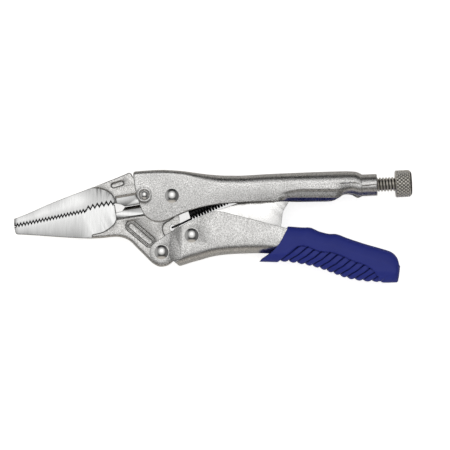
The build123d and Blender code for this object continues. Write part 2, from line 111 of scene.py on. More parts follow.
# %% [markdown]
# ## From rows of points to a piece
# Every turned, coiled or moulded piece here is a net: rows of points with faces between them.
# One function makes the net into a mesh, smooths it except at real edges, and lets it ride on
# its CAD body, so it moves as the real one does.

# %% Nets
def net(name, rows, body, closed=True, caps=(False, False), sharp=35):
    """A mesh from rows of points; closed joins each row's ends, caps fill the outer rows."""
    rows = [[Vector(p) for p in row] for row in rows]
    width = len(rows[0])
    verts = [p for row in rows for p in row]
    faces = []
    for i in range(len(rows) - 1):
        for j in range(width if closed else width - 1):
            k = (j + 1) % width
            a, b = i * width, (i + 1) * width
            faces.append((a + j, a + k, b + k, b + j))
    for cap, first in zip(caps, (0, (len(rows) - 1) * width)):
        if cap == "sheet":
            # the cut end of a folded sheet: outer half of the row against its inner half
            for j in range(width // 2 - 1):
                back = width - 1 - j
                faces.append((first + j, first + j + 1, first + back - 1, first + back))
        elif cap:
            centre = sum((verts[first + j] for j in range(width)), Vector()) / width
            verts.append(centre)
            for j in range(width):
                faces.append((first + j, first + (j + 1) % width, len(verts) - 1))
    mesh = bpy.data.meshes.new(name)
    mesh.from_pydata([tuple(v) for v in verts], [], faces)
    work = bmesh.new()
    work.from_mesh(mesh)
    bmesh.ops.remove_doubles(work, verts=work.verts, dist=1e-7)
    bmesh.ops.recalc_face_normals(work, faces=work.faces)
    work.to_mesh(mesh)
    work.free()
    mesh.shade_smooth()
    mesh.set_sharp_from_angle(angle=radians(sharp))
    piece = bpy.data.objects.new(name, mesh)
    scene.collection.objects.link(piece)
    if body:
        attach(piece, body)
    print(name, len(mesh.vertices), "points")
    return piece


# %% [markdown]
# ## Finishes as nodes
# Steel, plate and vinyl differ in colour, in how rough they are and in their relief, and each
# of those is a small chain of nodes. One helper adds any node; one turns a hex colour to the
# linear values that the renderer works in.

# %% Colour and nodes
def linear(hex_colour):
    """sRGB hex to linear RGBA."""
    parts = [int(hex_colour[i:i + 2], 16) / 255 for i in (1, 3, 5)]
    return [c / 12.92 if c <= 0.04045 else ((c + 0.055) / 1.055) ** 2.4 for c in parts] + [1.0]


def add(tree, kind, settings=None, inputs=None):
    """Adds a node; inputs that are sockets are linked, others become values."""
    made = tree.nodes.new(kind)
    for key, value in (settings or {}).items():
        setattr(made, key, value)
    for key, value in (inputs or {}).items():
        if isinstance(value, bpy.types.NodeSocket):
            tree.links.new(value, made.inputs[key])
        else:
            made.inputs[key].default_value = value
    return made


def finish_named(name, inputs=None):
    """An empty material with its shader, output and object coordinates."""
    material = bpy.data.materials.new(name)
    material.use_nodes = True
    tree = material.node_tree
    tree.nodes.clear()
    shader = add(tree, "ShaderNodeBsdfPrincipled", None, inputs)
    add(tree, "ShaderNodeOutputMaterial", None, {"Surface": shader.outputs[0]})
    place = add(tree, "ShaderNodeTexCoord").outputs["Object"]
    return material, tree, shader, place


# %% [markdown]
# ## Satin nickel plate
# Pressed handles are tumbled or blasted with fine beads and then nickel plated. The beads
# leave dents about 0.15 mm across, and the plate follows them, so the steel looks pale and
# sparkles in grains. The dents are drawn at 0.45 mm, because finer ones would not show.
# Where the surface turns, at edges and steps, the colour is darkened into a dark line: painted
# shade.

# %% Satin nickel
BEAD_MM, CLOUD_MM, DENT_DEPTH_MM = 0.45, 6.0, 0.12
FLAT_COSINE, TURNED_COSINE = 0.99, 0.82
# colour of the painted shade along edges and steps
EDGE_PAINTED_SHADE = "#5A5855"


def grain(tree, place, size_mm, detail=2.0, stretch=(1, 1, 1)):
    """Noise whose spots are about size_mm across."""
    scaled = add(tree, "ShaderNodeMapping", None, {"Vector": place, "Scale": stretch})
    return add(
        tree, "ShaderNodeTexNoise", None,
        {"Vector": scaled.outputs[0], "Scale": 1 / (size_mm * MM), "Detail": detail},
    ).outputs[0]


def satin_nickel(name, pale, dark, rough, dent, edge_mm):
    """Bead-blasted, nickel-plated steel, edges rubbed round, with painted shade along them."""
    material, tree, shader, place = finish_named(name, inputs={"Metallic": 1.0})
    beads = grain(tree, place, BEAD_MM, 3.0)
    cloud = grain(tree, place, CLOUD_MM)
    spread = add(
        tree, "ShaderNodeMapRange", None, {"Value": beads, "From Min": 0.3, "From Max": 0.7}
    ).outputs[0]
    spots = add(
        tree, "ShaderNodeMix", {"data_type": "RGBA"},
        {0: spread, 6: linear(dark), 7: linear(pale)},
    ).outputs[2]
    rounded = add(
        tree, "ShaderNodeBevel", {"samples": 8}, {"Radius": edge_mm * MM}
    ).outputs[0]
    # 1 where the surface turns within the edge radius, 0 on flats: where shade is painted
    true = add(tree, "ShaderNodeNewGeometry").outputs["Normal"]
    alike = add(tree, "ShaderNodeVectorMath", {"operation": "DOT_PRODUCT"}, {0: rounded, 1: true})
    edge_shade_mask = add(
        tree, "ShaderNodeMapRange", None,
        {"Value": alike.outputs["Value"], "From Min": FLAT_COSINE, "From Max": TURNED_COSINE},
    ).outputs[0]
    # painted shade: edges and steps darkened toward the edge colour
    edge_shaded_colour = add(
        tree, "ShaderNodeMix", {"data_type": "RGBA", "blend_type": "MULTIPLY"},
        {0: edge_shade_mask, 6: spots, 7: linear(EDGE_PAINTED_SHADE)},
    ).outputs[2]
    tree.links.new(edge_shaded_colour, shader.inputs["Base Color"])
    uneven = add(
        tree, "ShaderNodeMapRange", None,
        {"Value": cloud, "From Min": 0.3, "From Max": 0.7, "To Min": rough - 0.05,
         "To Max": rough + 0.06},
    ).outputs[0]
    tree.links.new(uneven, shader.inputs["Roughness"])
    bump = add(
        tree, "ShaderNodeBump", None,
        {"Height": beads, "Strength": dent, "Distance": DENT_DEPTH_MM * MM, "Normal": rounded},
    )
    tree.links.new(bump.outputs[0], shader.inputs["Normal"])
    return material, tree, shader, place


handle_steel = satin_nickel(
    "Satin_nickel_bead_blasted_steel", "#EBEAE8", "#A3A2A0", 0.27, 0.5, 0.3
)[0]
channel_steel = satin_nickel(
    "Satin_nickel_bead_blasted_channel_steel", "#F2F1EF", "#A4A3A1", 0.28, 0.6, 0.4
)[0]
link_steel = satin_nickel(
    "Satin_nickel_rolled_plate", "#FDFCFB", "#E8E7E4", 0.22, 0.2, 0.25
)[0]

# %% [markdown]
# ## Painted shade between the teeth
# A dark zigzag is painted along both rows where the closed jaws meet: painted shade for the
# shadow in the gap between the teeth.
# The band is painted from the same points as the teeth: a start, a middle, an end, the number
# of teeth and their height. It stands 0.5 mm taller than the teeth and about 0.5 mm to each
# side, coarser than real, because a finer one would not show.

# %% Painted shade along the teeth
TOOTH_ROWS = (
    ((-64.6, -12.3), (-50.3, -9.35), (-36.1, -6.2), 22, 0.8, -70, -35.85),
    ((-35.6, -5.5), (-30.0, -3.75), (-24.4, -2.9), 6, 1.2, -35.85, -23.8),
)
SHADE_EXTRA_MM, SHADE_EDGE_MM, SHADE_CORE_MM = 0.5, 0.58, 0.46


def shade_between_teeth(tree, axes):
    """1 in a band round the zigzag where the two jaws meet: the painted shade."""
    teeth_shade = None
    for start, middle, end, count, tooth, left, right in TOOTH_ROWS:
        drawn = tooth + SHADE_EXTRA_MM
        slope = (end[1] - start[1]) / (end[0] - start[0])
        sag = (middle[1] - (start[1] + end[1]) / 2) * 4
        t = add(
            tree, "ShaderNodeMapRange", {"clamp": False},
            {"Value": axes.outputs[0], "From Min": pivot.x + start[0] * MM,
             "From Max": pivot.x + end[0] * MM},
        ).outputs[0]
        rest = add(tree, "ShaderNodeMath", {"operation": "SUBTRACT"}, {0: 1.0, 1: t}).outputs[0]
        bulge = add(tree, "ShaderNodeMath", {"operation": "MULTIPLY"}, {0: t, 1: rest}).outputs[0]
        run = add(
            tree, "ShaderNodeMath", {"operation": "MULTIPLY_ADD"},
            {0: t, 1: slope * (end[0] - start[0]) * MM, 2: pivot.y + start[1] * MM},
        ).outputs[0]
        arc = add(
            tree, "ShaderNodeMath", {"operation": "MULTIPLY_ADD"}, {0: bulge, 1: sag * MM, 2: run}
        ).outputs[0]
        steps = add(
            tree, "ShaderNodeMath", {"operation": "MULTIPLY"}, {0: t, 1: 2.0 * count}
        ).outputs[0]
        wave = add(tree, "ShaderNodeMath", {"operation": "PINGPONG"}, {0: steps, 1: 1.0}).outputs[0]
        high_point = add(
            tree, "ShaderNodeMath", {"operation": "MULTIPLY_ADD"},
            {0: wave, 1: drawn * MM, 2: arc},
        ).outputs[0]
        zigzag = add(
            tree, "ShaderNodeMath", {"operation": "SUBTRACT"}, {0: high_point, 1: drawn / 2 * MM}
        ).outputs[0]
        away = add(
            tree, "ShaderNodeMath", {"operation": "SUBTRACT"}, {0: axes.outputs[1], 1: zigzag}
        ).outputs[0]
        gap = add(tree, "ShaderNodeMath", {"operation": "ABSOLUTE"}, {0: away}).outputs[0]
        band = add(
            tree, "ShaderNodeMapRange", None,
            {"Value": gap, "From Min": SHADE_EDGE_MM * MM, "From Max": SHADE_CORE_MM * MM},
        ).outputs[0]
        after = add(
            tree, "ShaderNodeMath", {"operation": "GREATER_THAN"},
            {0: axes.outputs[0], 1: pivot.x + left * MM},
        ).outputs[0]
        before = add(
            tree, "ShaderNodeMath", {"operation": "LESS_THAN"},
            {0: axes.outputs[0], 1: pivot.x + right * MM},
        ).outputs[0]
        within = add(tree, "ShaderNodeMath", {"operation": "MULTIPLY"}, {0: after, 1: before})
        row = add(
            tree, "ShaderNodeMath", {"operation": "MULTIPLY"}, {0: band, 1: within.outputs[0]}
        ).outputs[0]
        teeth_shade = row if teeth_shade is None else add(
            tree, "ShaderNodeMath", {"operation": "MAXIMUM"}, {0: teeth_shade, 1: row}
        ).outputs[0]
    return teeth_shade


# %% [markdown]
# ## Honed cutters
# The cutters stand behind the teeth. Their bevels are honed, so they take the light of the
# room overhead like the flats beside them; their shading leans most of the way to straight
# out, while the geometry keeps its angle.

# %% Honed cutters
HONED_FROM_X, HONED_BELOW_Y, HONED_LEAN, HONED_FACING = -23.4, -1.3, 0.88, 0.5


def honed_normal(tree, axes, height, inner, normal):
    """Leans the normal outward on the cutting bevels."""
    behind_teeth = add(
        tree, "ShaderNodeMath", {"operation": "GREATER_THAN"},
        {0: axes.outputs[0], 1: pivot.x + HONED_FROM_X * MM},
    ).outputs[0]
    under_ledge = add(
        tree, "ShaderNodeMath", {"operation": "LESS_THAN"},
        {0: axes.outputs[1], 1: pivot.y + HONED_BELOW_Y * MM},
    ).outputs[0]
    true = add(tree, "ShaderNodeNewGeometry").outputs["True Normal"]
    facing = add(tree, "ShaderNodeSeparateXYZ", None, {0: true}).outputs[2]
    lying = add(tree, "ShaderNodeMath", {"operation": "ABSOLUTE"}, {0: facing}).outputs[0]
    part = add(
        tree, "ShaderNodeMath", {"operation": "GREATER_THAN"}, {0: lying, 1: HONED_FACING}
    ).outputs[0]
    for condition in (behind_teeth, under_ledge, inner):
        part = add(
            tree, "ShaderNodeMath", {"operation": "MULTIPLY"}, {0: part, 1: condition}
        ).outputs[0]
    lean = add(
        tree, "ShaderNodeMath", {"operation": "MULTIPLY"}, {0: part, 1: HONED_LEAN}
    ).outputs[0]
    side = add(tree, "ShaderNodeMath", {"operation": "SIGN"}, {0: height}).outputs[0]
    straight_out = add(tree, "ShaderNodeCombineXYZ", None, {2: side}).outputs[0]
    return add(
        tree, "ShaderNodeMix", {"data_type": "VECTOR"}, {0: lean, 4: normal, 5: straight_out}
    ).outputs[1]


# %% [markdown]
# ## Ground noses
# The jaw forgings get the same satin plate, but the sides of their noses are ground flat
# afterwards. The wheel leaves straight bright scratches across the nose, about 0.1 mm apart;
# they are drawn at 0.3 mm. The ground flats lie 3.6 mm from the middle plane, and all that
# lies nearer than 3.15 mm is throat or cutter, so the material finds each by its height.

# %% Jaw steel
NOSE_HALF_MM, LAND_HALF_MM, GROUND_BELOW_Y = 3.6, 3.15, 3.4
SCRATCH_MM, SCRATCH_DEPTH_MM, GROUND_ROUGHNESS, GROUND_EDGE_MM = 0.3, 0.03, 0.24, 0.2
# colour of the painted shade along the jaws' edges
JAW_EDGE_PAINTED_SHADE = "#45433F"


def jaw_finish():
    """Satin nickel with ground flats, painted shade along the teeth and honed cutters."""
    material, tree, shader, place = satin_nickel(
        "Forged_jaw_steel_satin_nickel_with_ground_flats", "#EFEEEC", "#A19F9B", 0.28, 0.6, 0.8
    )
    axes = add(tree, "ShaderNodeSeparateXYZ", None, {0: place})
    height = add(
        tree, "ShaderNodeMath", {"operation": "SUBTRACT"}, {0: axes.outputs[2], 1: pivot.z}
    ).outputs[0]
    out = add(tree, "ShaderNodeMath", {"operation": "ABSOLUTE"}, {0: height}).outputs[0]
    low = add(
        tree, "ShaderNodeMath", {"operation": "LESS_THAN"}, {0: out, 1: (NOSE_HALF_MM + 0.02) * MM}
    ).outputs[0]
    high = add(
        tree, "ShaderNodeMath", {"operation": "GREATER_THAN"}, {0: out, 1: LAND_HALF_MM * MM}
    ).outputs[0]
    inner = add(
        tree, "ShaderNodeMath", {"operation": "LESS_THAN"}, {0: out, 1: LAND_HALF_MM * MM}
    ).outputs[0]
    below = add(
        tree, "ShaderNodeMath", {"operation": "LESS_THAN"},
        {0: axes.outputs[1], 1: pivot.y + GROUND_BELOW_Y * MM},
    ).outputs[0]
    layer = add(tree, "ShaderNodeMath", {"operation": "MULTIPLY"}, {0: low, 1: high}).outputs[0]
    ground = add(tree, "ShaderNodeMath", {"operation": "MULTIPLY"}, {0: layer, 1: below}).outputs[0]
    lines = grain(tree, place, SCRATCH_MM, 3.0, (1, 0.05, 1))
    unshaded = add(
        tree, "ShaderNodeMix", {"data_type": "RGBA"},
        {0: lines, 6: linear("#D0D0CF"), 7: linear("#EAEAE9")},
    ).outputs[2]
    teeth_shade = shade_between_teeth(tree, axes)
    # painted shade: the band round the zigzag turns nearly black
    bright = add(
        tree, "ShaderNodeMix", {"data_type": "RGBA"}, {0: teeth_shade, 6: unshaded, 7: linear("#0B0A09")}
    ).outputs[2]
    # the mix that paints shade along the edges
    edge_shade_mix = shader.inputs["Base Color"].links[0].from_node
    old_colour = edge_shade_mix.inputs[6].links[0].from_socket
    old_rough = shader.inputs["Roughness"].links[0].from_socket
    old_normal = shader.inputs["Normal"].links[0].from_socket
    colour = add(
        tree, "ShaderNodeMix", {"data_type": "RGBA"}, {0: ground, 6: old_colour, 7: bright}
    ).outputs[2]
    rough = add(
        tree, "ShaderNodeMix", {"data_type": "FLOAT"},
        {0: ground, 2: old_rough, 3: GROUND_ROUGHNESS},
    ).outputs[0]
    rounded = add(
        tree, "ShaderNodeBevel", {"samples": 8}, {"Radius": GROUND_EDGE_MM * MM}
    ).outputs[0]
    scratch = add(
        tree, "ShaderNodeBump", None,
        {"Height": lines, "Strength": 0.25, "Distance": SCRATCH_DEPTH_MM * MM, "Normal": rounded},
    ).outputs[0]
    normal = add(
        tree, "ShaderNodeMix", {"data_type": "VECTOR"}, {0: ground, 4: old_normal, 5: scratch}
    ).outputs[1]
    normal = honed_normal(tree, axes, height, inner, normal)
    tree.links.new(colour, edge_shade_mix.inputs[6])
    # the jaws' edges get a darker painted shade
    edge_shade_mix.inputs[7].default_value = linear(JAW_EDGE_PAINTED_SHADE)
    tree.links.new(rough, shader.inputs["Roughness"])
    tree.links.new(normal, shader.inputs["Normal"])
    return material


jaw_steel = jaw_finish()

# %% [markdown]
# ## Polished rivets, turned screw, black spring
# Rivet heads are pressed in a polished die, so they mirror the room, with a few hairlines.
# The screw and knob are turned and plated; the bottom of their cuts gets painted shade, so
# the crests stand out bright. The cut is found by its radius; end faces get no painted shade.
# Spring wire is blackened in hot oxide, which leaves a thin, slightly oily, blue-black skin.

# %% Small steels
def polished_steel():
    """Die-polished rivet heads."""
    material, tree, shader, place = finish_named(
        "Polished_rivet_steel", inputs={"Metallic": 1.0, "Base Color": linear("#E9E8E6")}
    )
    hairline = grain(tree, place, 0.5, 3.0, (1, 0.2, 1))
    rough = add(
        tree, "ShaderNodeMapRange", None, {"Value": hairline, "To Min": 0.06, "To Max": 0.2}
    )
    tree.links.new(rough.outputs[0], shader.inputs["Roughness"])
    return material


TILT = radians(2.5)
# painted shade in the bottom of the cuts, and the plate's own colour on the crests
CUT_PAINTED_SHADE, CREST = "#26221D", "#F2EFE8"
screw_axis = Vector((cos(TILT), sin(TILT), 0))
screw_middle = at(82.0, 4.5)


def turned_steel(name, valley, crest):
    """Nickel-plated thread or knurl, dark between two radii measured from the screw's axis."""
    material, tree, shader, place = finish_named(name, inputs={"Metallic": 1.0})
    offset = add(
        tree, "ShaderNodeVectorMath", {"operation": "SUBTRACT"}, {0: place, 1: screw_middle}
    ).outputs[0]
    lever_arm = add(
        tree, "ShaderNodeVectorMath", {"operation": "CROSS_PRODUCT"}, {0: offset, 1: screw_axis}
    ).outputs[0]
    radius = add(
        tree, "ShaderNodeVectorMath", {"operation": "LENGTH"}, {0: lever_arm}
    ).outputs["Value"]
    deep = add(
        tree, "ShaderNodeMapRange", None,
        {"Value": radius, "From Min": valley * MM, "From Max": crest * MM},
    ).outputs[0]
    # end faces get no painted shade, at every radius
    true = add(tree, "ShaderNodeNewGeometry").outputs["True Normal"]
    along = add(
        tree, "ShaderNodeVectorMath", {"operation": "DOT_PRODUCT"}, {0: true, 1: screw_axis}
    ).outputs["Value"]
    either_way = add(tree, "ShaderNodeMath", {"operation": "ABSOLUTE"}, {0: along}).outputs[0]
    end_face = add(
        tree, "ShaderNodeMapRange", None, {"Value": either_way, "From Min": 0.88, "From Max": 0.96}
    ).outputs[0]
    unshaded = add(tree, "ShaderNodeMath", {"operation": "MAXIMUM"}, {0: deep, 1: end_face}).outputs[0]
    dirt = grain(tree, place, 0.4)
    # painted shade in the cuts, the plated colour on crests and end faces
    colour = add(
        tree, "ShaderNodeMix", {"data_type": "RGBA"},
        {0: unshaded, 6: linear(CUT_PAINTED_SHADE), 7: linear(CREST)},
    ).outputs[2]
    tree.links.new(colour, shader.inputs["Base Color"])
    rough = add(
        tree, "ShaderNodeMapRange", None, {"Value": dirt, "To Min": 0.22, "To Max": 0.42}
    )
    tree.links.new(rough.outputs[0], shader.inputs["Roughness"])
    return material


def black_oxide():
    """Blackened spring wire."""
    material, tree, shader, place = finish_named(
        "Black_oxide_spring_wire", inputs={"Metallic": 0.6, "Coat Weight": 0.3}
    )
    drawn = grain(tree, place, 0.5)
    colour = add(
        tree, "ShaderNodeMix", {"data_type": "RGBA"},
        {0: drawn, 6: linear("#0B0B0D"), 7: linear("#2A2B30")},
    ).outputs[2]
    tree.links.new(colour, shader.inputs["Base Color"])
    rough = add(
        tree, "ShaderNodeMapRange", None, {"Value": drawn, "To Min": 0.25, "To Max": 0.45}
    )
    tree.links.new(rough.outputs[0], shader.inputs["Roughness"])
    return material


rivet_steel = polished_steel()
screw_steel = turned_steel("Turned_nickel_plate", 2.3, 2.65)
knurled_steel = turned_steel("Knurled_nickel_plate", 5.15, 5.35)
spring_steel = black_oxide()

# %% [markdown]
# ## Soft blue vinyl
# The sleeve is moulded in soft vinyl. The mould is spark-eroded, which prints a fine matt
# texture about 0.3 mm across. Grooves, found by occlusion, get painted shade in navy.

# %% Vinyl
SPARK_MM, SPARK_DEPTH_MM, DYE_CLOUD_MM, HOLLOW_MM = 0.3, 0.04, 9.0, 1.2


def moulded_vinyl():
    """Matt moulded vinyl."""
    material, tree, shader, place = finish_named(
        "Moulded_blue_vinyl", inputs={"IOR": 1.5, "Specular IOR Level": 0.4}
    )
    texture = grain(tree, place, SPARK_MM, 3.0)
    cloud = grain(tree, place, DYE_CLOUD_MM)
    dye_tone = add(
        tree, "ShaderNodeMix", {"data_type": "RGBA"},
        {0: cloud, 6: linear("#2A3698"), 7: linear("#3341AC")},
    ).outputs[2]
    # painted shade: grooves and hollows within 1.2 mm turn navy
    hollow = add(
        tree, "ShaderNodeAmbientOcclusion", {"samples": 8, "only_local": True},
        {"Distance": HOLLOW_MM * MM},
    ).outputs["AO"]
    open_part = add(
        tree, "ShaderNodeMapRange", None, {"Value": hollow, "From Min": 0.35, "From Max": 0.9}
    ).outputs[0]
    navy_shade_in_grooves = add(
        tree, "ShaderNodeMix", {"data_type": "RGBA"},
        {0: open_part, 6: linear("#141A52"), 7: dye_tone},
    ).outputs[2]
    tree.links.new(navy_shade_in_grooves, shader.inputs["Base Color"])
    rough = add(
        tree, "ShaderNodeMapRange", None, {"Value": texture, "To Min": 0.45, "To Max": 0.62}
    )
    tree.links.new(rough.outputs[0], shader.inputs["Roughness"])
    bump = add(
        tree, "ShaderNodeBump", None,
        {"Height": texture, "Strength": 0.35, "Distance": SPARK_DEPTH_MM * MM},
    )
    tree.links.new(bump.outputs[0], shader.inputs["Normal"])
    return material


vinyl = moulded_vinyl()


def wear(piece, material):
    """Gives every slot of a piece one material."""
    if not piece.material_slots:
        piece.data.materials.append(material)
    for slot in piece.material_slots:
        slot.material = material


# %% [markdown]
# ## Rivets
# A rivet is a turned form, so it is one outline spun round an axis: a thin rim where the die
# stopped, a dome above it, and the shank through the walls. The same function spins any
# outline, here for three pivots and the small pin of the fixed jaw.

# %% Turn the rivets
def spin(outline, origin, axis, across, segments, radius_at=None):
    """Rows of points: each outline pair (distance along axis, radius) becomes a ring."""
    axis = Vector(axis).normalized()
    across = Vector(across).normalized()
    third = axis.cross(across)
    rows = []
    for along, radius in outline:
        ring = []
        for k in range(segments):
            turn = tau * k / segments
            r = radius if radius_at is None else radius_at(along, turn, radius)
            ring.append(origin + (axis * along + (across * cos(turn) + third * sin(turn)) * r) * MM)
        rows.append(ring)
    return rows


RIM_MM, LIP_PART = 0.3, 0.93


def rivet_outline(half_grip, shank, head, rise):
    """Half outline of a rivet with a rim and a dome, mirrored to both ends."""
    rim, lip = RIM_MM, head * LIP_PART
    dome = (lip**2 + (rise - rim) ** 2) / (2 * (rise - rim))
    half = [(0.0, shank), (half_grip, shank), (half_grip, head), (half_grip + rim * 0.6, head)]
    half += [(half_grip + rim, head * 0.98), (half_grip + rim, lip)]
    start = asin(lip / dome)
    for i in range(1, 14):
        a = start * (1 - i / 13)
        half.append((half_grip + rise - dome + dome * cos(a), max(dome * sin(a), 0.002)))
    return [(-z, r) for z, r in reversed(half)] + half[1:]


RIVETS = {
    "main_rivet": ((0, 0), 6.2, 2.4, 3.2, 1.5, "frame"),
    "jaw_rivet": (JAW_RIVET, 6.0, 2.4, 3.2, 1.5, "lever"),
    "link_rivet": (LINK_RIVET, 7.3, 2.4, 3.2, 1.5, "lever"),
    "fixed_jaw_pin": (JAW_PIN, 6.2, 1.2, 1.7, 0.9, "frame"),
}
for name, (spot, half_grip, shank, head, rise, body) in RIVETS.items():
    rows = spin(rivet_outline(half_grip, shank, head, rise), at(*spot), (0, 0, 1), (1, 0, 0), 64)
    piece = net(name + "_turned", rows, body, caps=(True, True), sharp=40)
    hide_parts(name)
    wear(piece, rivet_steel)

# %% [markdown]
# ## Adjusting screw
# The screw is 1/4-20: twenty turns to the inch, so 1.27 mm a turn. A thread is a round bar
# whose radius depends on both the place along it and the angle round it, so the net's rings
# get their radius from that. Seen from the knob, a right-hand thread climbs as it turns.

# %% Cut the thread
screw_up = Vector((-sin(TILT), cos(TILT), 0))
PITCH, MAJOR, CUT, SPIGOT = 1.27, 3.0, 0.72, 2.0
NOSE, KNOB_START, KNOB_END = -31.8, 10.7, 17.5


def thread_radius(along, turn, radius):
    """A right-hand V groove round the full-size part of the screw."""
    if radius < MAJOR - 0.01:
        return radius
    f = (along / PITCH - turn / tau) % 1.0
    return radius - CUT * min(max(abs(2 * f - 1) * 1.2 - 0.1, 0), 1)


outline = [(NOSE, 0.01), (NOSE, 1.8), (NOSE + 0.6, 2.3)]
steps = int((KNOB_START - NOSE - 1.2) / (PITCH / 14))
outline += [(NOSE + 1.2 + i * (KNOB_START - NOSE - 1.2) / steps, MAJOR) for i in range(steps + 1)]
outline += [(KNOB_START, SPIGOT), (KNOB_START + 2.9, SPIGOT), (KNOB_START + 2.9, 0.01)]
rows = spin(outline, screw_middle, screw_axis, screw_up, 56, thread_radius)
screw = net("adjusting_screw_threaded", rows, "screw", sharp=50)
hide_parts("adjusting_screw")
wear(screw, screw_steel)

# %% [markdown]
# ## Knurled knob
# A diamond knurl is rolled by two wheels whose ridges cross. Each wheel leaves grooves on a
# steep spiral, and what stands between both sets is a field of small diamonds with worn tops,
# here 1.6 mm apart and 0.55 mm high, 22 round the knob. The end has a hexagon for a 4 mm key.

# %% Roll the knurl
KNOB_RADIUS, KNURL_COUNT, KNURL_DEPTH = 5.6, 22, 0.55
KNURL_PITCH = tau * KNOB_RADIUS / KNURL_COUNT


def knurl_radius(along, turn, radius):
    """Diamonds with flat tops between two crossing sets of grooves."""
    if radius < KNOB_RADIUS - 0.01:
        return radius
    run = (along - KNOB_START) / (KNURL_PITCH * 1.05)
    one = 1 - abs(2 * ((turn / tau * KNURL_COUNT + run) % 1.0) - 1)
    two = 1 - abs(2 * ((turn / tau * KNURL_COUNT - run) % 1.0) - 1)
    peak = min(one, two) ** 0.75
    return radius - KNURL_DEPTH * (1 - min(peak * 1.5, 1))


def hexagon(turn, corner):
    """Radius of a hexagon at an angle."""
    part = (turn % (tau / 6)) - tau / 12
    return corner * cos(tau / 12) / cos(part)


HEX_CORNER, HEX_DEPTH = 2.3, 2.8
outline = [(KNOB_START + 2.0, 2.05), (KNOB_START, 2.05), (KNOB_START, 5.25)]
outline += [(KNOB_START + 0.35, 5.55)]
count = 44
outline += [
    (KNOB_START + 0.4 + i * (KNOB_END - KNOB_START - 1.5) / count, KNOB_RADIUS)
    for i in range(count + 1)
]
outline += [(KNOB_END - 1.0, 5.45), (KNOB_END - 0.5, 5.1), (KNOB_END - 0.1, 4.6), (KNOB_END, 4.3)]
outline += [(KNOB_END, 3.2)]
rows = spin(outline, screw_middle, screw_axis, screw_up, 256, knurl_radius)
for depth, corner in ((0.0, HEX_CORNER * 1.1), (0.25, HEX_CORNER), (HEX_DEPTH, HEX_CORNER)):
    rows += spin(
        [(KNOB_END - depth, 0)], screw_middle, screw_axis, screw_up, 256,
        lambda along, turn, radius: hexagon(turn, corner),
    )
knob = net("adjusting_knob_knurled", rows, "knob", caps=(False, True), sharp=50)
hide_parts("adjusting_knob")
wear(knob, knurled_steel)

# %% [markdown]
# ## Return spring
# An extension spring is wire on a mandrel, with a hook turned out at each end. Its path is a
# list of points: the front hook through the tab, the coil, the rear hook round its lug. A
# tube follows the path.

# %% Wind the spring
def tube(path, radius, sides):
    """Rings of wire round a path, each ring turned as little as possible from the last."""
    path = [Vector(p) for p in path]
    rows = []
    side = None
    for i, p in enumerate(path):
        ahead = (path[min(i + 1, len(path) - 1)] - path[max(i - 1, 0)]).normalized()
        if side is None:
            side = ahead.orthogonal().normalized()
        side = (side - ahead * side.dot(ahead)).normalized()
        other = ahead.cross(side)
        rows.append(
            [p + (side * cos(tau * k / sides) + other * sin(tau * k / sides)) * radius * MM
             for k in range(sides)]
        )
    return rows


COIL_TILT = radians(23)
COIL_RADIUS, COIL_PITCH, COIL_TURNS, WIRE = 2.15, 1.25, 18.5, 0.43
coil_axis = Vector((cos(COIL_TILT), sin(COIL_TILT), 0))
coil_down = Vector((sin(COIL_TILT), -cos(COIL_TILT), 0))
coil_start = at(7.2, -7.6)
coil = []
for i in range(int(COIL_TURNS * 24) + 1):
    turn = tau * i / 24
    spread = coil_down * cos(turn) + coil_axis.cross(coil_down) * sin(turn)
    coil.append(coil_start + (coil_axis * (COIL_PITCH * i / 24) + spread * COIL_RADIUS) * MM)
front = [at(3.6, -11.7, -1.9), at(0.7, -12.9, -1.9), at(0.2, -13.1, -1.5), at(0.2, -13.1, 1.5)]
front += [at(0.7, -12.9, 1.9), at(2.6, -12.05, 1.9), at(4.6, -11.2, 1.9), at(6.6, -10.2, 1.2)]
rear = [at(30.6, 4.2, 0.9), at(34.2, 5.6, 1.3), at(37.2, 6.25, 1.3), at(37.75, 6.3, 0.9)]
rear += [at(37.75, 6.3, -0.9), at(37.2, 6.25, -1.3), at(35.6, 6.0, -1.3)]
path = [Vector(p) for p in smooth_line(front, 60)] + coil
path += [Vector(p) for p in smooth_line(rear, 60)]
spring = net("return_spring_wound", tube(path, WIRE, 10), None,
             caps=(True, True), sharp=80)
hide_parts("return_spring")
wear(spring, spring_steel)
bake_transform(spring)

# %% [markdown]
# ## Grip sleeve
# The sleeve is soft vinyl, moulded over the rear of the lower handle. Its net runs from the
# mouth to the closed end; each row is one slanting section from the lower outline to the
# upper one. The side faces have a flat middle, a gentle slope toward both edges and a rounded
# corner. A recessed panel holds the finger ribs, 2.6 mm apart, slanting at 40 degrees, and
# the ribs end in a scalloped lower edge.

# %% Mould the sleeve
GRIP_HALF, FLAT_FROM, MOUTH_BOW = 9.2, 6.2, 1.6
# a quarter of the section: distance from the edge, distance from the middle plane
SECTION = (
    (0.0, 0.0), (0.0, 2.6), (0.05, 4.6), (0.4, 6.5), (1.1, 7.6), (2.1, 8.25),
    (3.4, 8.75), (4.4, 9.05), (5.2, 9.2), (6.2, 9.2),
)
TOP_LINE = (
    (48.2, -12.7), (50, -12.8), (54, -13.1), (57.5, -13.2), (61, -14.7), (65, -15.7),
    (68.5, -15.9), (73, -17.6), (80, -19.9), (88, -22.2), (91.3, -23.5), (93.3, -25.7),
    (94.2, -28.6),
)
BOTTOM_LINE = (
    (36.3, -27.3), (43, -27.5), (48, -27.7), (55, -28.8), (61, -30.3), (66.8, -32.4),
    (72.5, -34.4), (79, -35.6), (86.5, -36.0), (93.2, -35.9),
)
PANEL_X = (44, 45, 47.5, 50, 52, 54, 56, 59, 61, 66.5, 71, 74, 77, 80, 82.5, 84, 85, 86, 86.5)
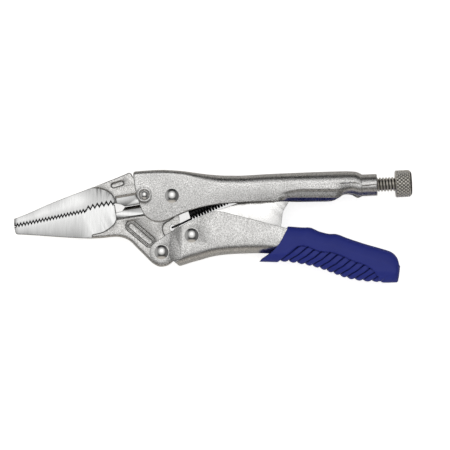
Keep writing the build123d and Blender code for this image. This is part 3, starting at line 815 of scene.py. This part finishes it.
PANEL_Y = (-29, -26.8, -24.5, -22.3, -20.9, -20.5, -20.9, -22.2, -22.9, -23.4, -25, -26.5,
           -27.6, -28.6, -30.2, -31.7, -33.5, -36, -39)
RIB_SLANT, RIB_PITCH, RIB_FIRST, RIB_LAST_ROW = radians(40), 2.58, 49.7, 13.0
PANEL_DEPTH, GROOVE_DEPTH, RIB_LEAN, OUTLINE_DEPTH, SCALLOP_DEPTH = 0.3, 0.7, 0.22, 0.35, 0.7


def rib_row(x, y):
    """Which rib a point lies on, counted from the mouth, and 1 where there are ribs."""
    row = (x * sin(RIB_SLANT) - y * cos(RIB_SLANT) - RIB_FIRST) / RIB_PITCH
    held = ease(-0.3, 0.1, row) * (1 - ease(RIB_LAST_ROW - 0.1, RIB_LAST_ROW + 0.3, row))
    return row, float(held)


def relief(x, y):
    """How deep the panel and its grooves lie below the side face, in mm."""
    edge = np.interp(x, PANEL_X, PANEL_Y)
    slope = (np.interp(x + 0.5, PANEL_X, PANEL_Y) - np.interp(x - 0.5, PANEL_X, PANEL_Y))
    inside = (edge - y) / sqrt(1 + slope**2)
    panel = float(ease(-0.15, 0.35, inside))
    row, held = rib_row(x, y)
    step = row % 1.0
    groove = float(1 - ease(0.0, 0.13, step)) + float(ease(0.87, 1.0, step))
    lean = RIB_LEAN * (1 - step)
    line = OUTLINE_DEPTH * float(1 - ease(0.0, 0.4, abs(inside - 0.1)))
    return panel * (PANEL_DEPTH + held * (GROOVE_DEPTH * groove + lean)) + line


def scallop(x, y):
    """How far the sleeve's lower edge draws in between two ribs, in mm."""
    row, held = rib_row(x, y)
    return held * SCALLOP_DEPTH * (1 - sin(pi * (row % 1.0)))


def section_points(low, high, scale, bow, inner=0.0):
    """One closed ring between two outline points."""
    quarter = smooth_line(SECTION, 34)
    height = hypot(high[0] - low[0], high[1] - low[1])
    half = height / 2
    stretch = min(1.0, half / FLAT_FROM)
    middle = np.linspace(FLAT_FROM, max(half, FLAT_FROM + 0.01), 22)[1:]
    face = [(d * stretch, z) for d, z in quarter] + [(d, GRIP_HALF) for d in middle if d < half]
    lower = [(d / height, z) for d, z in face]
    side = lower + [(1 - s, z) for s, z in reversed(lower)]
    count = 110
    run = np.r_[0, np.cumsum([hypot((b[0] - a[0]) * height, b[1] - a[1])
                              for a, b in zip(side, side[1:])])]
    want = np.linspace(0, run[-1], count)
    s_all = np.interp(want, run, [p[0] for p in side])
    z_all = np.interp(want, run, [p[1] for p in side])
    ring = []
    for sign in (1, -1):
        order = range(count) if sign == 1 else range(count - 2, 0, -1)
        for k in order:
            s, z = s_all[k], z_all[k]
            x = low[0] + (high[0] - low[0]) * s
            y = low[1] + (high[1] - low[1]) * s
            push = bow * sin(pi * s)
            x += push * (high[1] - low[1]) / height
            y -= push * (high[0] - low[0]) / height
            deep = relief(x, y) if inner == 0 else 0.0
            if inner == 0 and s < 0.5:
                # the same grooves draw the lower edge in, so that it is scalloped
                low_part = float(1 - ease(0.5, 5.0, s * height))
                y += (0.6 * deep + scallop(x, y)) * low_part
            z_out = (z - deep * float(ease(5.5, 7.5, z))) * scale
            if inner:
                x += (0.5 - s) * 2 * inner * (high[0] - low[0]) / height
                y += (0.5 - s) * 2 * inner * (high[1] - low[1]) / height
                z_out = z_out * (GRIP_HALF - inner) / GRIP_HALF
            ring.append(at(x, y, sign * z_out))
    return ring


ROWS = 210
tops = smooth_line(TOP_LINE, ROWS)
bottoms = smooth_line(BOTTOM_LINE, ROWS)
rows = []
for i in (26, 18, 10, 4):
    bow = MOUTH_BOW * (1 - ease(0, 30, i))
    rows.append(section_points(bottoms[i], tops[i], 1.0, bow, inner=1.7))
rows.append(section_points(bottoms[0], tops[0], 1.0, MOUTH_BOW, inner=1.5))
rows.append(section_points(bottoms[0], tops[0], 0.985, MOUTH_BOW, inner=0.35))
for i in range(ROWS):
    bow = MOUTH_BOW * float(1 - ease(0, 40, i))
    left = 1 - i / (ROWS - 1)
    end = sqrt(max(1 - (1 - min(left / 0.045, 1)) ** 2, 0.0))
    rows.append(section_points(bottoms[i], tops[i], 0.8 + 0.2 * end, bow))
last = rows[-1]
centre = sum(last, Vector()) / len(last)
rows.append([centre + (p - centre) * 0.9 + Vector((0.35 * MM, 0, 0)) for p in last])
grip = net("grip_sleeve_moulded", rows, "lever", caps=(False, True), sharp=45)
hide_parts("grip_sleeve")
wear(grip, vinyl)

# %% [markdown]
# ## Upper handle
# The handle is one strip of sheet, 1.8 mm thick, pressed into a channel. In front it is a flat
# box with a tight bend; toward the back the bend widens, the lower edges roll inward, and at
# the end the sheet closes round the screw. A net suits that, because each row is one section
# of the channel, and its width, bend and roll can change from row to row.

# %% Fold the upper handle
SHEET, LINK_ROOM, JAW_ROOM, ROUND_END = 1.8, 3.15, 4.32, 4.6
BACK_LINE = (
    (-16.0, 9.6), (-15.0, 10.1), (-10, 10.5), (-5, 10.75), (0, 10.6), (5, 10.2), (10, 9.5),
    (15, 8.9), (20, 8.5), (25, 8.4), (30, 8.45), (40, 9.05), (50, 9.5), (60, 9.9), (70, 10.2),
    (75, 10.15), (77, 9.8), (78.7, 9.0),
)
EDGE_LINE = (
    (-12.6, -5.5), (-12.1, -6.7), (-11.3, -8), (-10, -9.3), (-8, -10.4), (-5, -10.9),
    (-2, -10.2), (2, -8.4), (6, -6.7), (12, -5.0), (20, -3.5), (30, -2.8), (45, -2.35),
    (52, -2.5), (60, -2.4), (66, -2.2), (69, -0.9), (71, 0.35), (73, 0.6), (75, 0.2),
    (77, -0.8), (78.7, -0.3),
)
STATION = (-16, 5, 12, 20, 40, 50, 60, 70, 79)
HALF_WIDTH = (6.2, 6.2, 6.2, 6.2, 6.2, 6.2, 6.1, 5.6, 4.6)
BEND = (1.9, 2.2, 3.2, 4.2, 4.4, 4.7, 5.0, 5.0, 4.55)


def wall_z(x, y, top, low, half, bend):
    """Half width of the channel at a height in one section."""
    z = half
    if y > top - bend:
        z = half - bend + sqrt(max(bend**2 - (y - top + bend) ** 2, 0))
    roll = float(ease(43.5, 50.5, x))
    fold = 1.0 + 1.35 * float(ease(44, 54, x))
    # the wall is slightly crowned, more so toward the back
    crown = 0.003 + 0.017 * float(ease(5, 50, x))
    z -= crown * (y - 3.6) ** 2 * (1 - float(ease(67, 72, x)))
    # a soft step inward at the fold, a nearly flat band below it, and a steep lip
    z -= roll * 0.35 * (1 - float(ease(fold - 0.65, fold + 0.65, y)))
    z -= roll * (0.12 * max(fold - y, 0) + 1.04 * max(-0.6 - y, 0))
    tube_like = float(ease(67, 77.5, x))
    middle = (top + low) / 2
    round_z = sqrt(max(ROUND_END**2 - min(abs(y - middle), ROUND_END) ** 2, 0.3))
    z += (round_z - z) * tube_like
    spread = hypot(x - JAW_PIN[0], y - JAW_PIN[1])
    swell = 0.42 * np.exp(-(((spread - 2.5) / 0.75) ** 2)) * (1 - float(ease(-10, -7, x)))
    return z + float(swell) - 0.45 * float(1 - ease(1.6, 2.3, spread))


def handle_section(top, low, x_bow, inset):
    """One closed ring: the outside over the back, then the inside on the way home."""
    height = hypot(top[0] - low[0], top[1] - low[1])
    half = float(np.interp(top[0], STATION, HALF_WIDTH)) - inset
    bend = float(np.interp(top[0], STATION, BEND))
    thin = SHEET - inset - 0.45 * float(ease(66, 72, top[0]))
    outer = []
    inner = []
    for s in np.linspace(1, 0, 45):
        y_from_top = height * s
        x = top[0] + (low[0] - top[0]) * s + x_bow * sin(pi * s)
        y = top[1] + (low[1] - top[1]) * s
        z = wall_z(x, y, top[1], low[1], half, bend)
        # the link swings between the rolled edges, which are thinned for it in front
        room = LINK_ROOM * float(1 - ease(53.2, 54.5, x)) if y < 4 else 0.0
        if x < 16:
            # the jaw, 8.4 mm thick, swings between the front walls
            room = JAW_ROOM
        inside = x, y, max(z - thin, min(room, z - 0.3)) if z > thin else z * 0.4
        if y_from_top < bend:
            # walk round the bend by angle, so its points stay even
            turn = (1 - y_from_top / bend) * pi / 2
            drop = bend * (1 - sin(turn))
            y = top[1] - drop - inset
            x = top[0] + (low[0] - top[0]) * drop / height + x_bow * sin(pi * drop / height)
            z = half - bend + bend * cos(turn)
            small = max(bend - thin, 0.05)
            inside = x, top[1] - bend + small * sin(turn), half - bend + small * cos(turn)
        outer.append((x, y, z))
        inner.append(inside)
    for line in (outer, inner):
        line += [(line[-1][0], line[-1][1], line[-1][2] * f) for f in (0.66, 0.33)]
    middle = outer[-1][0], outer[-1][1], 0.0
    inner_middle = inner[-1][0], inner[-1][1], 0.0
    # the sheet's edge is rounded: one more point just inside each of its two corners
    lip = outer[0][2] - 0.35
    ring = [at(outer[0][0], outer[0][1], lip)]
    ring += [at(x, y + (0.3 if k == 0 else 0), z) for k, (x, y, z) in enumerate(outer)]
    ring += [at(*middle)]
    ring += [at(x, y + (0.3 if k == 0 else 0), -z) for k, (x, y, z) in
             reversed(list(enumerate(outer)))]
    ring += [at(outer[0][0], outer[0][1], -lip)]
    ring += [at(inner[0][0], inner[0][1], -inner[0][2] - 0.2)]
    ring += [at(x, y + (0.15 if k == 0 else 0), -z) for k, (x, y, z) in enumerate(inner)]
    ring += [at(*inner_middle)]
    ring += [at(x, y + (0.15 if k == 0 else 0), z) for k, (x, y, z) in
             reversed(list(enumerate(inner)))]
    ring += [at(inner[0][0], inner[0][1], inner[0][2] + 0.2)]
    return ring


ROWS = 260
tops = smooth_line(BACK_LINE, ROWS)
lows = smooth_line(EDGE_LINE, ROWS)
rows = []
for i in range(ROWS):
    bow = -0.68 * float(1 - ease(0, 30, i))
    rows.append(handle_section(tops[i], lows[i], bow, 0.3 if i == 0 else 0.0))
folded = net("upper_handle_folded", rows, "frame",
             caps=("sheet", "sheet"), sharp=42)
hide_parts("upper_handle")
wear(folded, channel_steel)

# %% [markdown]
# The end of the sheet is squeezed into a barrel and threaded. The two edges of the sheet meet
# in a seam along its side, with the lower one a little behind the upper.

# %% Close the barrel
BARREL = 4.5
SEAM = radians(92)


def barrel_radius(along, turn, radius):
    """A seam groove, and a slightly smaller radius below it."""
    if radius < BARREL - 0.3:
        return radius
    off = (turn - SEAM + pi) % tau - pi
    groove = 0.3 * float(1 - ease(0.02, 0.07, abs(off + 0.01 * along)))
    behind = 0.14 * float(ease(0.0, 0.06, off) * (1 - ease(1.0, 1.3, off)))
    return radius - groove - behind


outline = [(-6.0, 3.1), (-6.0, 3.6), (-4.6, 4.3), (-3.6, 4.42)]
outline += [(-3.4 + 0.25 * i, BARREL) for i in range(26)]
outline += [(3.0, 4.42), (3.1, 4.25), (3.1, 3.3), (2.8, 3.08), (-6.0, 3.08)]
rows = spin(outline, screw_middle, screw_axis, screw_up, 180, barrel_radius)
barrel = net("screw_barrel", rows, "frame", sharp=50)
wear(barrel, handle_steel)
lug_path = [at(36.7, 7.0), at(36.75, 4.3)]
lug = net("spring_lug", tube(lug_path, 0.65, 12), "frame", caps=(False, True))
wear(lug, handle_steel)

# %% [markdown]
# ## Finishing the CAD pieces
# The forged and pressed pieces keep their CAD shape. They get their metal, their sharp edges
# are broken by a small bevel as a tumbler does it, and their faces are shaded smooth except
# across real edges.

# %% Dress the CAD pieces
BREAK_MM = {"lower_handle": 0.4, "toggle_link": 0.3, "fixed_jaw": 0.28, "movable_jaw": 0.28}
METALS = {
    "lower_handle": handle_steel,
    "toggle_link": link_steel,
    "fixed_jaw": jaw_steel,
    "movable_jaw": jaw_steel,
}
for name, metal in METALS.items():
    piece = nodes[name]
    wear(piece, metal)
    piece.data.shade_smooth()
    piece.data.set_sharp_from_angle(angle=radians(15))
    weld = piece.modifiers.new("weld", "WELD")
    weld.merge_threshold = 0.000002
    broken = piece.modifiers.new("broken_edges", "BEVEL")
    broken.width = BREAK_MM[name] * MM
    broken.segments = 2
    broken.limit_method = "ANGLE"
    broken.angle_limit = radians(38)
    broken.harden_normals = True
    print(name, len(piece.data.vertices), len(piece.data.polygons))

# %% [markdown]
# ## Room, lights and camera
# The tool lies on a pale bench. A metal shows what surrounds it, so the room is bright
# overhead and dim round the horizon: flats turn white, and bends pick up a dark band. A warm
# wall and two soft boxes lie low round the tool, so that other sides don't turn black.

# %% Light the bench
floor_mesh = bpy.data.meshes.new("bench")
reach = 1.5
floor_mesh.from_pydata(
    [(-reach, -reach, 0), (reach, -reach, 0), (reach, reach, 0), (-reach, reach, 0)], [],
    [(0, 1, 2, 3)],
)
floor = bpy.data.objects.new("bench", floor_mesh)
floor.location = (0, 0, -0.0003)
scene.collection.objects.link(floor)
paper, tree, shader, place = finish_named(
    "Matt_white_paper",
    inputs={"Base Color": linear("#FBF8F3"), "Roughness": 0.9,
            "Emission Color": linear("#FFFFFF")},
)
# the paper shines for the camera only, so that it stays white but does not flood the steel
direct = add(tree, "ShaderNodeLightPath").outputs["Is Camera Ray"]
glow = add(tree, "ShaderNodeMath", {"operation": "MULTIPLY"}, {0: direct, 1: 0.78})
tree.links.new(glow.outputs[0], shader.inputs["Emission Strength"])
wear(floor, paper)

world = bpy.data.worlds.new("Soft_studio")
scene.world = world
world.use_nodes = True
tree = world.node_tree
tree.nodes.clear()
sky = add(tree, "ShaderNodeTexCoord").outputs["Generated"]
# the bright part of the room is overhead and a little to the +Y side
toward = add(
    tree, "ShaderNodeVectorMath", {"operation": "DOT_PRODUCT"}, {0: sky, 1: (0.03, 0.22, 0.975)}
)
ramp = add(tree, "ShaderNodeValToRGB", None, {0: toward.outputs["Value"]})
ramp.color_ramp.elements[0].position = 0.0
ramp.color_ramp.elements[0].color = (0.02, 0.02, 0.022, 1)
ramp.color_ramp.elements[1].position = 0.95
ramp.color_ramp.elements[1].color = (1.0, 1.0, 1.0, 1)
mid = ramp.color_ramp.elements.new(0.68)
mid.color = (0.05, 0.05, 0.051, 1)
# a warm wall low on the -Y side, where the lower bends of the tool look
wall = add(
    tree, "ShaderNodeVectorMath", {"operation": "DOT_PRODUCT"}, {0: sky, 1: (0, -1, 0)}
)
wall_part = add(
    tree, "ShaderNodeMapRange", None,
    {"Value": wall.outputs["Value"], "From Min": 0.62, "From Max": 0.85},
)
walls = add(
    tree, "ShaderNodeMix", {"data_type": "RGBA"},
    {0: wall_part.outputs[0], 6: ramp.outputs[0], 7: (0.55, 0.52, 0.48, 1)},
)
# two tall soft boxes beyond the ends of the tool, the one past the nose brighter
ends = add(tree, "ShaderNodeSeparateXYZ", None, {0: sky})
lit = walls.outputs[2]
for begins, full, grey in ((-0.45, -0.8, 0.4), (0.45, 0.8, 0.14)):
    box_part = add(
        tree, "ShaderNodeMapRange", None,
        {"Value": ends.outputs[0], "From Min": begins, "From Max": full},
    )
    lit = add(
        tree, "ShaderNodeMix", {"data_type": "RGBA"},
        {0: box_part.outputs[0], 6: lit, 7: (grey, grey, grey, 1)},
    ).outputs[2]
room = add(tree, "ShaderNodeBackground", None, {"Color": lit, "Strength": 1.0})
paper_room = add(
    tree, "ShaderNodeBackground", None, {"Color": (0.93, 0.93, 0.93, 1), "Strength": 1.0}
)
seen = add(tree, "ShaderNodeLightPath").outputs["Is Camera Ray"]
both = add(
    tree, "ShaderNodeMixShader", None, {0: seen, 1: room.outputs[0], 2: paper_room.outputs[0]}
)
add(tree, "ShaderNodeOutputWorld", None, {"Surface": both.outputs[0]})


def soft_light(name, spot, size, watts):
    """A square lamp that faces the tool."""
    data = bpy.data.lights.new(name, "AREA")
    data.size = size
    data.energy = watts
    lamp = bpy.data.objects.new(name, data)
    lamp.location = spot
    lamp.rotation_euler = (-Vector(spot)).to_track_quat("-Z", "Y").to_euler()
    scene.collection.objects.link(lamp)


soft_light("overhead_north", (0.0, 0.28, 0.9), 0.45, 0.25)
scene.view_settings.view_transform = "Standard"

# %% [markdown]
# The camera looks straight down on the tool's side from far off, so that it shows it nearly
# without perspective.

# %% Camera
camera_data = bpy.data.cameras.new("camera")
camera_data.lens = 289
camera_data.sensor_width = 36
camera_data.clip_end = 10
camera = bpy.data.objects.new("camera", camera_data)
camera.location = (0.0049, 0.00062, 1.509)
scene.collection.objects.link(camera)
scene.camera = camera
